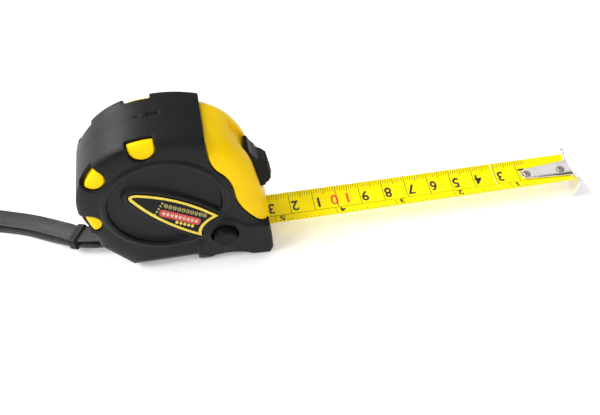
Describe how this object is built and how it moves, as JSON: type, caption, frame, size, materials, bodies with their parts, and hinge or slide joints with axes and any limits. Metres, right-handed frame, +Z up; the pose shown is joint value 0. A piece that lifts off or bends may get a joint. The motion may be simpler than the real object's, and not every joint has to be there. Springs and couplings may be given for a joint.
{
  "type": "tape measure",
  "caption": "Pocket tape measure with a rubber-clad round case, hollow blade out to a riveted hook, thumb lock, side brake button, belt clip and wrist strap.",
  "frame": {"origin": "on the flat base, straight under the drum axis and in the blade's mid plane", "axes": "+X out of the mouth along the blade, +Z up, +Y towards the belt clip side"},
  "size_m": [0.3277, 0.0466, 0.0679],
  "materials": {
    "yellow_case": "moulded ABS, satin gloss",
    "black_grip": "soft over-moulded rubber, satin",
    "label": "printed plastic label, glossy",
    "yellow_blade": "lacquered spring-steel tape, glossy",
    "hook_chrome": "bright plated steel",
    "steel": "zinc-plated steel",
    "clip_steel": "nickel-plated spring steel",
    "spring_steel": "blued spring steel",
    "nylon": "moulded acetal",
    "black_plastic": "moulded ABS, fine satin texture",
    "brake_rubber": "hard brake rubber",
    "webbing": "flat woven nylon webbing"
  },
  "bodies": {
    "case": {"case_right": "yellow_case", "case_left": "yellow_case", "grip_right": "black_grip", "grip_left": "black_grip", "label_plate": "label", "spring_post": "steel", "mouth_guide": "nylon", "case_screw_1": "steel", "case_screw_2": "steel", "case_screw_3": "steel", "case_screw_4": "steel", "strap_pin": "steel", "belt_clip": "clip_steel", "clip_screw": "steel", "wrist_strap": "webbing", "strap_keeper": "black_plastic"},
    "blade": {"blade_tip": "yellow_blade", "blade_strip": "yellow_blade", "hook_rivet_1": "steel", "hook_rivet_2": "steel"},
    "hook": {"end_hook": "hook_chrome"},
    "drum": {"spring_drum": "nylon", "drum_cover": "nylon", "power_spring": "spring_steel", "tape_coil": "yellow_blade"},
    "lock": {"thumb_lock": "black_plastic", "lock_slider": "black_plastic", "lock_shoe": "brake_rubber"},
    "button": {"side_button": "black_plastic", "button_spring": "spring_steel"},
    "brake": {"brake_shoe": "brake_rubber"}
  },
  "joints": [
    {"name": "blade_pull", "type": "slide", "parent": "case", "child": "blade", "axis": [1, 0, 0], "range_m": [-0.1315, 0], "deforming": ["blade_strip"]},
    {"name": "hook_play", "type": "slide", "parent": "blade", "child": "hook", "axis": [1, 0, 0], "range_m": [0, 0.001]},
    {"name": "drum_spin", "type": "hinge", "parent": "case", "child": "drum", "pos_m": [0, 0, 0.0363], "axis": [0, 1, 0], "range_deg": [-2, 311]},
    {"name": "thumb_lock_slide", "type": "slide", "parent": "case", "child": "lock", "axis": [-0.2028, 0, 0.9792], "range_m": [0, 0.006]},
    {"name": "side_button_press", "type": "slide", "parent": "case", "child": "button", "axis": [0, 1, 0], "range_m": [0, 0.0016], "stiffness_N_per_m": 900, "springref_m": -0.002, "deforming": ["button_spring"]},
    {"name": "brake_press", "type": "slide", "parent": "case", "child": "brake", "axis": [0, 0, -1], "range_m": [0, 0.0006]}
  ],
  "couplings": [
    {"joint": "drum_spin", "follows": "blade_pull", "rad_per_m": -41},
    {"joint": "brake_press", "follows": "side_button_press", "ratio": 0.35}
  ]
}
